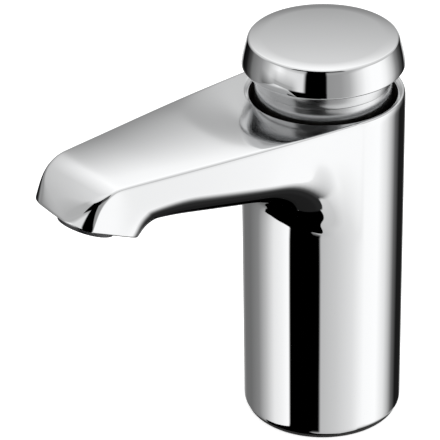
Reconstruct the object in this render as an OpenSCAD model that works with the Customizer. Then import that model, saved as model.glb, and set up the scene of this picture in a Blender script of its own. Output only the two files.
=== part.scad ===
// Push-operated, self-closing basin tap: a cast body and spout in one piece, a push button on top,
// and a timed valve cartridge inside.
// The origin is on the deck, on the axis of the body. The spout points to -Y.

/* [Body] */
// Outside diameter of the body
body_d = 48; // [46:0.5:54]
// Height of the body's top rim above the deck
body_h = 107; // [104:1:125]
// Width of the rim between the outside and the button recess
rim_land = 2; // [1.6:0.1:3]
// Depth of the recess around the button
recess_depth = 13; // [11:0.5:15]
// Bevel at the edge of the recess
recess_bevel = 0.9; // [0.4:0.1:1.2]
// Wall of the dry skirt at the foot of the body
skirt_wall = 5.5; // [4:0.5:6.5]
// Gap between the cartridge and the wall of its chamber
chamber_gap = 2.5; // [2:0.25:3]

/* [Spout] */
// Distance from the body's axis to the start of the nose bend
nose_start = 80; // [74:0.5:98]
// Radius of the nose bend seen from the side
nose_r = 14; // [12:0.5:16]
// Angle that the nose bend turns down through
nose_angle = 50; // [46:1:53]
// Radius of the nearly straight front face below the bend
front_r = 50; // [40:1:80]
// Steepness of the front face at the outlet
front_angle = 56; // [55:0.5:59]
// Depth of the spout at the crook behind the nose
spout_depth = 14.9; // [14:0.1:15.5]
// Radius of the crook behind the nose
crook_r = 7.5; // [6:0.5:9]
// Distance from the nose bend back to the crook's centre
crook_back = 12; // [11:0.1:13]
// Steepness of the face behind the outlet
back_angle = 37; // [32:1:42]
// Length of the face behind the outlet
back_len = 2; // [1.5:0.1:3]
// Fall of the underside towards the body
underside_angle = 8; // [5:0.5:9]
// Inward lean of the sides where they leave the body
side_angle = 4.2; // [3.8:0.1:4.8]
// Radius of the bow along each side
side_bow_r = 750; // [700:10:1200]
// Distance from the body's axis to the end of that bow
side_bow_end = 54; // [45:1:60]
// Inward lean of the sides along the nose
nose_side_angle = 3.4; // [2:0.2:6]
// Crown of the top
top_crown = 0.9; // [0.4:0.1:1.2]
// Rounding of the lower edges
edge_r = 7.5; // [5:0.25:8]
// Rounding of the lower edges at the outlet
outlet_edge_r = 1.6; // [1:0.1:2.4]
// Rounding of the top edges
top_edge_r = 0.5; // [0.3:0.1:0.8]
// Rounding of the nose's front corners at the outlet
nose_corner_r = 9.7; // [7:0.1:11]
// Angle that this rounding turns through before it meets the side
nose_corner_turn = 55; // [45:1:70]
// Fillet under the root of the spout
root_r = 14; // [10:0.5:16]
// Wall around the waterway in the spout
spout_wall = 3; // [2.5:0.1:3.5]
// Diameter of the two ports from the chamber to the spout
port_d = 6; // [4.5:0.25:6.5]
// Spacing of the two ports
port_spacing = 12; // [10:0.5:14]

/* [Foot] */
// Thickness of the gasket on the deck
gasket_t = 1; // [0.6:0.1:2]
// Setback of the gasket from the body's outside
gasket_set = 0.8; // [0.4:0.1:1.2]
// Width of the gasket ring
gasket_w = 2.4; // [1.8:0.1:2.4]
// Wall around the mounting plate
plate_wall = 3.6; // [3.4:0.1:3.9]
// Gap from the deck to the mounting plate
plate_gap = 2; // [1.5:0.25:3]
// Thickness of the mounting plate
plate_t = 8; // [7:0.5:10]
// Thread diameter of the two fixing studs
stud_d = 6; // [5:0.5:6]
// Diameter of the plate's recess for the nipple's hexagon
plate_counter_d = 22.8; // [22.6:0.1:23.4]
// Height of the web above the deck
web_z = 26; // [24:0.5:28]
// Thickness of the web
web_t = 7; // [6:0.5:8]

/* [Inlet] */
// Diameter of the inlet nipple's stem
nipple_d = 16; // [15:0.25:17]
// Width across flats of the nipple's hexagon
nipple_hex = 19; // [18.5:0.25:19.5]
// Height of the nipple's hexagon
nipple_hex_h = 3.8; // [3:0.1:4.5]
// Thread diameter of the hose socket
hose_d = 10; // [9:0.25:10.5]
// Depth of the hose socket
hose_len = 12; // [10:0.5:14]
// Diameter of the bore above the hose socket
inlet_bore_d = 7.6; // [6:0.2:8]
// Diameter of the pocket for the strainer
strainer_pocket_d = 10.4; // [10:0.1:10.8]
// Depth of the pocket for the strainer
strainer_pocket_h = 11; // [10:0.5:12]
// Thickness of the flow limiter
limiter_t = 1.8; // [1.4:0.1:2.2]

/* [Cartridge] */
// Diameter of the cartridge's nose
nose_d = 26; // [25.5:0.25:27]
// Length of the cartridge's nose
nose_h = 19; // [18:0.5:20]
// Outside diameter of the cartridge's barrel
barrel_d = 29; // [28.5:0.25:30]
// Bore of the barrel
barrel_bore = 23; // [22.5:0.25:24]
// Bore of the valve chamber in the nose
valve_bore = 19; // [18.5:0.25:19.5]
// Thickness of the ring that closes the nose
nose_ring_t = 2; // [1.5:0.1:2.2]
// Thickness of the valve seat
seat_t = 3; // [2.5:0.1:3.5]
// Diameter of the hole through the valve seat
seat_hole = 12; // [11:0.25:13]
// Thickness of the valve washer
washer_t = 2.7; // [2.2:0.1:3]
// Thickness of the disc that carries the valve washer
holder_t = 2.4; // [2:0.1:2.8]
// Diameter of the valve washer
washer_d = 16; // [15.5:0.25:17]
// Diameter of the spindle
spindle_d = 8; // [7:0.25:8.5]
// Diameter of the spindle's stem through the seat
stem_d = 5; // [4:0.25:5.5]
// Thickness of the piston
piston_t = 6; // [5.5:0.25:7]
// Wire of the return spring
wire_d = 1.4; // [1:0.1:1.6]
// Turns of the return spring
spring_turns = 6; // [5:1:6]
// Middle diameter of the return spring
spring_d = 18; // [17:0.25:18.5]
// Diameter of the metering pin
pin_d = 1.2; // [1:0.1:1.4]
// Distance of the metering pin from the axis
pin_r = 6.3; // [6.2:0.05:6.5]
// Width across flats of the bonnet's hexagon
bonnet_hex = 27; // [24:0.5:28]
// Width of the bonnet's flange beyond the chamber
bonnet_flange_w = 2; // [1.6:0.1:2.4]

/* [Button] */
// Travel of the push button
travel = 6; // [4:0.5:6.5]
// Gap between the button's edge and the body's rim
button_gap = 8.4; // [7.5:0.1:10]
// Height of the button cap
cap_h = 8.9; // [8:0.1:9.9]
// Rise of the cap's domed top
cap_dome = 0.4; // [0.2:0.1:0.6]
// Reach of the cap's lower edge beyond the collar
cap_overhang = 3.5; // [3:0.1:4.2]
// Inward lean of the cap's flank, from its lower edge to its top
cap_taper = 1.95; // [1.6:0.05:2.4]
// Bevel at the cap's top edge
cap_top_bevel = 0.6; // [0.4:0.1:0.8]
// Bevel at the cap's lower edge
cap_low_bevel = 0.6; // [0.4:0.1:1]
// Thickness of the cap's roof
cap_roof = 3.4; // [3:0.1:4]
// Step out from the skirt to the collar
collar_step = 0.3; // [0.2:0.05:0.5]
// Gap round the skirt in the recess
skirt_gap = 2; // [1.6:0.1:2.6]
// Wall of the collar and of the skirt
sleeve_wall = 1.4; // [1.2:0.05:1.5]
// Height of the collar that shows under the cap
collar_show = 4.8; // [4:0.1:5.2]
// Height of the groove between the collar and the skirt
groove_h = 0.4; // [0.3:0.05:0.6]
// Depth that the skirt reaches into the recess
skirt_dip = 3; // [2:0.25:4]

/* [Outlet] */
// Outside diameter of the outlet insert
aerator_d = 15.5; // [14:0.25:15.5]
// Depth of the outlet insert in the nose
aerator_h = 4.6; // [4.4:0.1:5.2]
// Setback of the outlet insert from the middle of the face
aerator_back = 1.8; // [1:0.1:2]
// Height of the insert's rim below the nose
aerator_rim_h = 3; // [2.2:0.1:3.2]
// Width of the insert's rim beyond its barrel
aerator_rim_w = 0.5; // [0.3:0.1:0.6]
// Wall of the outlet insert
aerator_wall = 1.1; // [0.9:0.1:1.3]

/* [Hidden] */
$fn = 96;

// Radial gap of a running or sliding fit
fit = 0.05;
// Overlap that carries a cut past a face
cut = 1;
// Rubber ring sections
nipple_ring_d = 1.5;
nose_ring_seal_d = 1.8;
spindle_ring_d = 1.6;
// Side play of a rubber ring in its groove
groove_play = 0.2;

body_r = body_d / 2;
recess_r = body_r - rim_land;
recess_z = body_h - recess_depth;
skirt_r = recess_r - skirt_gap;
collar_r = skirt_r + collar_step;
cap_r = collar_r + cap_overhang;
cap_top_r = cap_r - cap_taper;
chamber_r = barrel_d / 2 + chamber_gap;
cavity_r = body_r - skirt_wall;
plate_bore_r = body_r - plate_wall;
plate_top = plate_gap + plate_t;
web_top = web_z + web_t;
nose_top = web_top + nose_h;

// Spout: its side profile as (distance from the axis, height)
crook_t = nose_start - crook_back;
crook_z = body_h - spout_depth - crook_r;
nose_z = body_h - nose_r;
function bend_at(a) = [nose_start + nose_r * sin(a), nose_z + nose_r * cos(a)];
function front_at(a) =
  bend_at(nose_angle) + front_r * [sin(a) - sin(nose_angle), cos(a) - cos(nose_angle)];
function crook_at(a) = [crook_t + crook_r * sin(a), crook_z + crook_r * cos(a)];
crook_start = crook_at(-underside_angle);
crook_end = crook_at(back_angle);
outlet_front = front_at(front_angle);
outlet_back = crook_end + back_len * [cos(back_angle), -sin(back_angle)];
outlet_tilt = atan2(outlet_front[1] - outlet_back[1], outlet_front[0] - outlet_back[0]);
outlet_mid = (outlet_front + outlet_back) / 2 - aerator_back * [cos(outlet_tilt), sin(outlet_tilt)];

function spout_half_width(t) =
  let (bowed = min(t, side_bow_end))
  body_r - t * tan(side_angle) - (t - bowed / 2) * bowed / side_bow_r;
function half_width(t) =
  spout_half_width(min(t, nose_start)) - max(0, t - nose_start) * tan(nose_side_angle);
function underside_z(t) = crook_start[1] - (crook_start[0] - t) * tan(underside_angle);

// Top and bottom of the cross-section at a share f of the way round the nose
flat_len = nose_start - crook_start[0];
arc_len = nose_r * nose_angle * PI / 180;
front_len = front_r * (front_angle - nose_angle) * PI / 180;
bend_len = crook_r * (back_angle + underside_angle) * PI / 180;
function top_at(f) =
  let (s = f * (flat_len + arc_len + front_len) - flat_len)
  s < 0 ? [nose_start + s, body_h]
  : s < arc_len ? bend_at(s / nose_r * 180 / PI)
  : front_at(nose_angle + (s - arc_len) / front_r * 180 / PI);
function bottom_at(f) =
  let (s = f * (bend_len + back_len))
  s < bend_len
    ? crook_at(-underside_angle + s / crook_r * 180 / PI)
    : crook_end + (s - bend_len) * [cos(back_angle), -sin(back_angle)];

// Cross-sections from the axis to the crook, then round the nose to the outlet.
// Each is its top, its bottom and the share of the way round the nose
spout_start = 1.5;
root_start = 2.8;
root_end = body_r + root_r / 2;
root_bite = 0.6;
root_steps = 24;
nose_steps = 14;
top_steps = 4;
side_steps = 3;
corner_steps = 4;
round_steps = 6;
floor_steps = 10;
stations = concat(
  [[[spout_start, body_h], [spout_start, underside_z(spout_start)], 0]],
  [for (i = [0 : root_steps - 1])
    let (t = root_start + (crook_start[0] - root_start) * i / root_steps)
    [[t, body_h], [t, underside_z(t)], 0]],
  [for (i = [0 : nose_steps])
    let (f = i / nose_steps)
    [top_at(f), bottom_at(f), f]]
);

// How far a cross-section that meets the side at t bows out at x, to follow the body's wall
function wall_bow(t, x) =
  let (share = t < root_start ? 0 : min(1, max(0, (crook_start[0] - t) / (crook_start[0] - root_end))))
  share * (sqrt(pow(half_width(t), 2) + t * t - x * x) - t);

// How far the top rises at a share of the half width, at a distance d from the body's wall
crown_edge = 0.1;
crown_start = 6;
crown_run = 14;
function crown_rise(share, d) =
  top_crown * (1 + crown_edge - share * share) * min(1, max(0, d - crown_start) / crown_run);

// How far the fillet hangs below the underside at a distance d from the body's wall
function fillet_drop(d) =
  let (clear = max(0, d + root_bite))
  clear >= root_r ? 0 : root_r - sqrt(root_r * root_r - pow(root_r - clear, 2));

// Outline of one side of a cross-section, as (distance across, depth below the top),
// from the middle of the top to the middle of the underside
function half_outline(w, h, high_r, high_turn, low_r) =
  let (top_w = w - high_r * sin(high_turn), top_h = high_r - high_r * cos(high_turn))
  concat(
    [for (i = [0 : top_steps - 1]) [top_w * i / top_steps, 0]],
    [for (i = [0 : corner_steps])
      let (a = high_turn * i / corner_steps)
      [top_w + high_r * sin(a), high_r - high_r * cos(a)]],
    [for (i = [1 : side_steps]) [w, top_h + (h - top_h - low_r) * i / side_steps]],
    [for (i = [1 : round_steps])
      let (a = 90 * i / round_steps)
      [w - low_r + low_r * cos(a), h - low_r + low_r * sin(a)]],
    [for (i = [1 : floor_steps]) [(w - low_r) * (1 - i / floor_steps), h]]
  );
function mirrored(outline) = [for (i = [len(outline) - 2 : -1 : 1]) [-outline[i][0], outline[i][1]]];
function section(top, bottom, f) =
  let (h = norm(bottom - top),
       down = (bottom - top) / h,
       high_r = top_edge_r + (nose_corner_r - top_edge_r) * pow(f, 2),
       high_turn = 90 + (nose_corner_turn - 90) * f,
       low_r = edge_r + (outlet_edge_r - edge_r) * f,
       w = half_width(top[0]),
       half = half_outline(w, h, high_r, high_turn, low_r))
  [for (p = concat(half, mirrored(half)))
    let (flat = top + p[1] * down,
         x = p[0] * half_width(flat[0]) / w,
         low = p[1] / h,
         bow = wall_bow(top[0], x),
         d = norm([x, flat[0] + bow]) - body_r,
         at = flat + bow * [1, low * tan(underside_angle)] - crown_rise(p[0] / w, d) * (1 - low) * down)
    [x, -at[0], at[1] - fillet_drop(d) * low]];

rings = [for (s = stations) section(s[0], s[1], s[2])];
ring_size = len(rings[0]);
// Each end face starts in the middle of a lower rounding, on no straight stretch of its outline
end_start = top_steps + corner_steps + 1 + side_steps + floor(round_steps / 2);
end_face = [for (i = [0 : ring_size - 1]) (end_start + i) % ring_size];

module spout_solid() {
  last = (len(rings) - 1) * ring_size;
  polyhedron(
    points = [for (r = rings) each r],
    faces = concat(
      [[for (i = [ring_size : -1 : 1]) end_face[i % ring_size]]],
      [[for (i = end_face) last + i]],
      [for (r = [0 : len(rings) - 2], i = [0 : ring_size - 1])
        let (a = r * ring_size + i, b = r * ring_size + (i + 1) % ring_size)
        [a, b, a + ring_size]],
      [for (r = [0 : len(rings) - 2], i = [0 : ring_size - 1])
        let (a = r * ring_size + i, b = r * ring_size + (i + 1) % ring_size)
        [b, b + ring_size, a + ring_size]]
    )
  );
}

// Places children on the outlet, with z = 0 on its face and +Z leaving the nose
module at_outlet() {
  translate([0, -outlet_mid[0], outlet_mid[1]]) rotate([180 - outlet_tilt, 0, 0]) children();
}

module tube(r_out, r_in, h) {
  difference() {
    cylinder(r = r_out, h = h);
    translate([0, 0, -cut]) cylinder(r = r_in, h = h + 2 * cut);
  }
}

module rubber_ring(r_mid, d) {
  rotate_extrude() translate([r_mid, 0]) circle(d = d);
}

module hex_bar(af, h) {
  cylinder(r = af / 2 / cos(30), h = h, $fn = 6);
}

module lift(z) {
  translate([0, 0, z]) children();
}

// Body and spout

aerator_bore_r = aerator_d / 2 + fit;
aerator_seal_t = 0.8;
aerator_bore_h = aerator_h + aerator_seal_t;
waterway_low = underside_z(crook_start[0]) + spout_wall;
waterway_high = body_h - spout_wall;
waterway_start = body_r + spout_wall;
waterway_end = outlet_mid[0];
function waterway_half(t) = half_width(t) - spout_wall;
port_low_z = recess_z - recess_depth;
port_from = [chamber_r - spout_wall, port_low_z];
port_to = [waterway_start + 2 * spout_wall, (waterway_low + waterway_high) / 2];
port_rise = atan2(port_to[1] - port_from[1], port_to[0] - port_from[0]);
port_len = norm(port_to - port_from);

module waterway() {
  lift(waterway_low)
    linear_extrude(waterway_high - waterway_low)
      polygon([
        [-waterway_half(waterway_start), -waterway_start],
        [waterway_half(waterway_start), -waterway_start],
        [waterway_half(waterway_end) - edge_r, -waterway_end],
        [edge_r - waterway_half(waterway_end), -waterway_end]
      ]);
  for (side = [-1, 1])
    translate([side * port_spacing / 2, -port_from[0], port_from[1]])
      rotate([90 - port_rise, 0, 0])
        cylinder(d = port_d, h = port_len);
}

module body_casting() {
  color("gainsboro")
    difference() {
      union() {
        lift(gasket_t) cylinder(r = body_r, h = body_h - gasket_t);
        spout_solid();
      }
      lift(recess_z) cylinder(r = recess_r, h = recess_depth + cut);
      lift(body_h - recess_bevel)
        cylinder(r1 = recess_r, r2 = recess_r + recess_bevel + cut, h = recess_bevel + cut);
      lift(nose_top) cylinder(r = chamber_r, h = recess_z - nose_top + cut);
      lift(web_top) cylinder(d = nose_d, h = nose_h + cut);
      cylinder(d = nipple_d + 2 * fit, h = web_top + cut);
      cylinder(r = cavity_r, h = web_z);
      cylinder(r = plate_bore_r, h = plate_top);
      waterway();
      at_outlet() lift(-aerator_bore_h) cylinder(r = aerator_bore_r, h = aerator_bore_h + cut);
    }
}

// Foot and inlet

module base_gasket() {
  color("dimgray") tube(body_r - gasket_set, body_r - gasket_set - gasket_w, gasket_t);
}

nipple_sink = 0.2;
nipple_low = plate_gap + nipple_sink;
nipple_hex_top = nipple_low + nipple_hex_h;
stud_spacing = plate_bore_r + plate_counter_d / 2;

module mounting_plate() {
  color("darkgoldenrod")
    difference() {
      lift(plate_gap) cylinder(r = plate_bore_r - fit, h = plate_t);
      lift(plate_gap - cut) cylinder(d = plate_counter_d, h = nipple_hex_top - plate_gap + cut);
      cylinder(d = nipple_d + 4 * fit, h = plate_top + cut);
      for (side = [-1, 1])
        translate([side * stud_spacing / 2, 0, 0]) cylinder(d = stud_d, h = plate_top + cut);
    }
}

strainer_z = web_top - strainer_pocket_h;
nipple_groove_z = web_z + web_t / 2;
nipple_groove_r = nipple_d / 2 - nipple_ring_d;

module inlet_nipple() {
  color("goldenrod")
    difference() {
      union() {
        lift(nipple_low) hex_bar(nipple_hex, nipple_hex_h);
        lift(nipple_low) cylinder(d = nipple_d, h = web_top - nipple_low);
      }
      lift(nipple_low - cut) cylinder(d = hose_d, h = hose_len + cut);
      cylinder(d = inlet_bore_d, h = web_top + cut);
      lift(strainer_z) cylinder(d = strainer_pocket_d, h = strainer_pocket_h + cut);
      lift(nipple_groove_z - nipple_ring_d / 2 - groove_play)
        tube(nipple_d, nipple_groove_r, nipple_ring_d + 2 * groove_play);
    }
}

module nipple_seal() {
  color("black") lift(nipple_groove_z) rubber_ring(nipple_groove_r + nipple_ring_d / 2, nipple_ring_d);
}

strainer_wall = 0.5;
strainer_rim_t = 0.8;
strainer_slots = 10;
strainer_slot_w = 0.9;
strainer_rim_w = 1;
strainer_cup_r = strainer_pocket_d / 2 - strainer_rim_w;
strainer_top = web_top - limiter_t;

module inlet_strainer() {
  cup_h = strainer_top - strainer_z - strainer_wall;
  color("silver")
    difference() {
      union() {
        lift(strainer_top - strainer_rim_t) cylinder(d = strainer_pocket_d - 2 * fit, h = strainer_rim_t);
        lift(strainer_top - cup_h) cylinder(r = strainer_cup_r, h = cup_h);
      }
      lift(strainer_top - cup_h + strainer_wall) cylinder(r = strainer_cup_r - strainer_wall, h = cup_h);
      for (i = [0 : strainer_slots - 1])
        rotate(360 / strainer_slots * i)
          translate([0, -strainer_slot_w / 2, strainer_top - cup_h + 2 * strainer_wall])
            cube([strainer_pocket_d, strainer_slot_w, cup_h - strainer_rim_t - 3 * strainer_wall]);
    }
}

limiter_holes = 5;
limiter_hole_d = 1.8;
limiter_hole_r = strainer_pocket_d * 0.29;

module flow_limiter() {
  color("seagreen")
    lift(web_top - limiter_t)
      difference() {
        cylinder(d = strainer_pocket_d - 2 * fit, h = limiter_t);
        for (i = [0 : limiter_holes - 1])
          rotate(360 / limiter_holes * i)
            translate([limiter_hole_r, 0, -cut]) cylinder(d = limiter_hole_d, h = limiter_t + 2 * cut);
      }
}

// Cartridge, from its nose up

seat_z = nose_top - seat_t;
seat_lip_h = 0.3;
seat_lip_w = 1;
valve_gap = 0.05;
washer_top = seat_z - seat_lip_h - valve_gap;
washer_z = washer_top - washer_t;
holder_z = washer_z - holder_t;
valve_nut_t = 2;
valve_nut_z = holder_z - valve_nut_t;
floor_t = 2;
gallery_h = 6;
ledge_t = 2;
ledge_hole_d = 10;
gallery_z = nose_top + floor_t;
ledge_z = gallery_z + gallery_h;
spring_z = ledge_z + ledge_t;
bonnet_thread_h = 8;
bonnet_cup_h = 2;
bonnet_low = recess_z - bonnet_thread_h;
barrel_top = bonnet_low + bonnet_cup_h;
piston_head = 4;
piston_top = barrel_top - piston_head;
piston_z = piston_top - piston_t;
clip_t = 1;
spring_seat_gap = 0.2;
spring_top = piston_z - spring_seat_gap;
barrel_ports = 4;
barrel_port_d = 5;
nose_ring_hole_d = inlet_bore_d + 2;
nose_groove_z = web_top + nose_h / 2;
nose_groove_r = nose_d / 2 - fit - nose_ring_seal_d;

module cartridge_body() {
  color("khaki")
    difference() {
      union() {
        lift(web_top) cylinder(d = nose_d - 2 * fit, h = nose_h);
        lift(nose_top) cylinder(d = barrel_d, h = barrel_top - nose_top);
      }
      lift(web_top - cut) cylinder(d = valve_bore, h = nose_h + cut);
      lift(nose_top - cut) cylinder(d = seat_hole, h = floor_t + 2 * cut);
      lift(gallery_z) cylinder(d = barrel_bore, h = gallery_h);
      lift(ledge_z - cut) cylinder(d = ledge_hole_d, h = ledge_t + 2 * cut);
      lift(spring_z) cylinder(d = barrel_bore, h = barrel_top - spring_z + cut);
      for (i = [0 : barrel_ports - 1])
        rotate(360 / barrel_ports * (i + 0.5))
          lift(gallery_z + gallery_h / 2)
            rotate([0, 90, 0]) cylinder(d = barrel_port_d, h = barrel_d);
      lift(nose_groove_z - nose_ring_seal_d / 2 - groove_play)
        tube(nose_d, nose_groove_r, nose_ring_seal_d + 2 * groove_play);
    }
}

module nose_seal() {
  color("black") lift(nose_groove_z) rubber_ring(nose_groove_r + nose_ring_seal_d / 2, nose_ring_seal_d);
}

module nose_ring() {
  color("darkkhaki") lift(web_top) tube(valve_bore / 2 - fit, nose_ring_hole_d / 2, nose_ring_t);
}

module valve_seat() {
  color("tan")
    lift(seat_z)
      difference() {
        union() {
          cylinder(d = valve_bore - 2 * fit, h = seat_t);
          lift(-seat_lip_h) cylinder(d = seat_hole + 2 * seat_lip_w, h = seat_t);
        }
        lift(-seat_lip_h - cut) cylinder(d = seat_hole, h = seat_t + seat_lip_h + 2 * cut);
      }
}

module valve_washer() {
  color("black") lift(washer_z) tube(washer_d / 2, stem_d / 2 + fit, washer_t);
}

module washer_holder() {
  color("peru") lift(holder_z) tube(washer_d / 2, stem_d / 2 + fit, holder_t);
}

valve_nut_af = 8;

module valve_nut() {
  color("darkgray")
    lift(valve_nut_z)
      difference() {
        hex_bar(valve_nut_af, valve_nut_t);
        lift(-cut) cylinder(d = stem_d + 2 * fit, h = valve_nut_t + 2 * cut);
      }
}

// Spindle, piston and spring

cap_low = body_h + button_gap;
cap_top = cap_low + cap_h;
cap_edge = cap_top - cap_dome;
cap_ceiling = cap_top - cap_roof;
spindle_clear = 1.5;
spindle_top = cap_ceiling - spindle_clear;
stem_collar_t = 1.5;
stem_collar_w = 1;
stem_collar_d = stem_d + 2 * stem_collar_w;
shoulder_rise = 2;
spindle_shoulder = spring_z + shoulder_rise;

module spindle() {
  color("lightgray") {
    lift(valve_nut_z) cylinder(d = stem_d, h = spindle_shoulder - valve_nut_z);
    lift(washer_top) cylinder(d = stem_collar_d, h = stem_collar_t);
    lift(spindle_shoulder) cylinder(d = spindle_d, h = spindle_top - spindle_shoulder);
  }
}

seal_t = 2.2;
seal_depth = 1.5;
seal_z = piston_z + (piston_t - seal_t) / 2;
bleed_gap = 0.2;

module piston() {
  color("burlywood")
    difference() {
      lift(piston_z) tube(barrel_bore / 2 - 2 * fit, spindle_d / 2 + fit, piston_t);
      lift(seal_z - groove_play / 2) tube(barrel_bore, barrel_bore / 2 - seal_depth, seal_t + groove_play);
      translate([pin_r, 0, piston_z - cut]) cylinder(d = pin_d + 2 * bleed_gap, h = piston_t + 2 * cut);
    }
}

module piston_seal() {
  color("black") lift(seal_z) tube(barrel_bore / 2 - fit, barrel_bore / 2 - seal_depth + fit, seal_t);
}

clip_w = 1.3;

module piston_clip() {
  color("dimgray") lift(piston_z - clip_t) tube(spindle_d / 2 + fit + clip_w, spindle_d / 2 + fit, clip_t);
}

// The spring is one tube swept up a helix
curl_rings = 8;
wire_sides = 6;
spring_rings = spring_turns * curl_rings;
spring_low = spring_z + spring_seat_gap + wire_d / 2;
spring_rise = spring_top - wire_d / 2 - spring_low;
spring_pitch = spring_rise / spring_turns;
spring_slope = atan(spring_pitch / (PI * spring_d));
function curl_mid(i) =
  let (a = 360 * i / curl_rings)
  [spring_d / 2 * cos(a), spring_d / 2 * sin(a), spring_low + spring_rise * i / spring_rings];
function curl_ring(i) =
  let (a = 360 * i / curl_rings,
       out = [cos(a), sin(a), 0],
       along = [-sin(a) * cos(spring_slope), cos(a) * cos(spring_slope), sin(spring_slope)],
       side = cross(along, out))
  [for (k = [0 : wire_sides - 1])
    let (b = 360 * k / wire_sides)
    curl_mid(i) + wire_d / 2 * (cos(b) * out + sin(b) * side)];
spring_points = [for (i = [0 : spring_rings]) each curl_ring(i)];
spring_self_gap = min([
  for (i = [0 : spring_rings - curl_rings + 1], j = [i + curl_rings - 1 : spring_rings])
    norm(curl_mid(i) - curl_mid(j))
]) - wire_d;

module return_spring() {
  last = spring_rings * wire_sides;
  echo(least_gap_between_turns_mm = spring_self_gap);
  color("slategray")
    polyhedron(
      points = spring_points,
      faces = concat(
        [for (k = [1 : wire_sides - 2]) [0, k + 1, k]],
        [for (k = [1 : wire_sides - 2]) [last, last + k, last + k + 1]],
        [for (i = [0 : spring_rings - 1], k = [0 : wire_sides - 1])
          let (a = i * wire_sides + k, b = i * wire_sides + (k + 1) % wire_sides)
          [a, b, a + wire_sides]],
        [for (i = [0 : spring_rings - 1], k = [0 : wire_sides - 1])
          let (a = i * wire_sides + k, b = i * wire_sides + (k + 1) % wire_sides)
          [b, b + wire_sides, a + wire_sides]]
      )
    );
}

pin_seat = 2;
pin_hold = 1;
pin_low = piston_z - travel + pin_hold;

module metering_pin() {
  color("whitesmoke")
    translate([pin_r, 0, pin_low]) cylinder(d = pin_d, h = barrel_top + pin_seat - pin_low);
}

// Bonnet

bonnet_seal_t = 1;
bonnet_flange_t = 1.5;
bonnet_hex_h = 2.3;
flange_r = chamber_r + bonnet_flange_w;
flange_z = recess_z + bonnet_seal_t;
bonnet_top = flange_z + bonnet_flange_t + bonnet_hex_h;
spindle_ring_z = (barrel_top + bonnet_top) / 2;
spindle_groove_r = spindle_d / 2 + fit + spindle_ring_d;

module bonnet() {
  color("goldenrod")
    difference() {
      union() {
        lift(bonnet_low) cylinder(r = chamber_r - fit, h = flange_z - bonnet_low);
        lift(flange_z) cylinder(r = flange_r, h = bonnet_flange_t);
        lift(flange_z) hex_bar(bonnet_hex, bonnet_top - flange_z);
      }
      lift(bonnet_low - cut) cylinder(d = barrel_d + 2 * fit, h = bonnet_cup_h + cut);
      lift(barrel_top - cut) cylinder(d = spindle_d + 2 * fit, h = bonnet_top - barrel_top + 2 * cut);
      lift(spindle_ring_z - spindle_ring_d / 2 - groove_play)
        cylinder(r = spindle_groove_r, h = spindle_ring_d + 2 * groove_play);
      translate([pin_r, 0, barrel_top - cut]) cylinder(d = pin_d + fit, h = pin_seat + cut);
    }
}

module bonnet_seal() {
  color("black") lift(recess_z) tube(flange_r, chamber_r, bonnet_seal_t);
}

module spindle_seal() {
  color("black") lift(spindle_ring_z) rubber_ring(spindle_groove_r - spindle_ring_d / 2, spindle_ring_d);
}

// Push button

boss_d = 14;
boss_drop = 6.5;
boss_low = cap_low - boss_drop;
lock_nut_t = 3.5;
lock_nut_af = 13;

module cap_lock_nut() {
  color("darkgray")
    lift(boss_low - lock_nut_t)
      difference() {
        hex_bar(lock_nut_af, lock_nut_t);
        lift(-cut) cylinder(d = spindle_d + 2 * fit, h = lock_nut_t + 2 * cut);
      }
}

dome_steps = 6;
dome_r = cap_top_r - cap_top_bevel;
cap_lean = cap_taper / (cap_edge - cap_low);

module button_cap() {
  color("gainsboro")
    rotate_extrude()
      polygon(concat(
        [for (i = [0 : dome_steps])
          let (share = i / dome_steps)
          [dome_r * share, cap_top - cap_dome * share * share]],
        [
          [cap_top_r + cap_top_bevel * cap_lean, cap_edge - cap_top_bevel],
          [cap_r - cap_low_bevel * cap_lean, cap_low + cap_low_bevel],
          [cap_r - cap_low_bevel, cap_low],
          [collar_r + fit, cap_low],
          [collar_r + fit, cap_ceiling],
          [boss_d / 2, cap_ceiling],
          [boss_d / 2, boss_low],
          [spindle_d / 2 + fit, boss_low],
          [spindle_d / 2 + fit, spindle_top],
          [0, spindle_top]
        ]
      ));
}

collar_low = cap_low - collar_show;
skirt_top = collar_low - groove_h;
skirt_low = body_h - skirt_dip;
spigot_h = 5;

module button_collar() {
  color("gainsboro") lift(collar_low) tube(collar_r, collar_r - sleeve_wall, cap_ceiling - collar_low);
}

module button_skirt() {
  spigot_r = collar_r - sleeve_wall - fit;
  bore_r = spigot_r - sleeve_wall / 2;
  color("gainsboro")
    difference() {
      union() {
        lift(skirt_low) cylinder(r = skirt_r, h = skirt_top - skirt_low);
        lift(skirt_low) cylinder(r = skirt_r - groove_h, h = collar_low - skirt_low);
        lift(skirt_low) cylinder(r = spigot_r, h = collar_low + spigot_h - skirt_low);
      }
      lift(skirt_low - cut) cylinder(r = bore_r, h = collar_low + spigot_h - skirt_low + 2 * cut);
    }
}

// Outlet insert, with z = 0 on the nose's outlet face and the water leaving along +Z

aerator_r = aerator_d / 2;
aerator_bore = aerator_r - aerator_wall;
lip_w = 0.5;
lip_t = 1.2;
lip_z = aerator_rim_h - lip_t;
screen_t = 0.8;
spacer_t = 1.8;
spacer_w = 1;
screen_z = lip_z - screen_t;
spacer_z = screen_z - spacer_t;
diffuser_t = aerator_h + spacer_z;
hole_pitch = 2;
screen_hole_d = 1.4;
diffuser_holes = 8;
diffuser_hole_d = 1.5;

module aerator_housing() {
  color("dimgray")
    at_outlet()
      difference() {
        union() {
          lift(-aerator_h) cylinder(r = aerator_r, h = aerator_h + aerator_rim_h);
          cylinder(r = aerator_r + aerator_rim_w, h = aerator_rim_h);
        }
        lift(-aerator_h - cut) cylinder(r = aerator_bore, h = aerator_h + lip_z + cut);
        lift(lip_z - cut) cylinder(r = aerator_bore - lip_w, h = aerator_rim_h - lip_z + 2 * cut);
      }
}

module aerator_seal() {
  color("black") at_outlet() lift(-aerator_bore_h) tube(aerator_r, aerator_bore - lip_w, aerator_seal_t);
}

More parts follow.
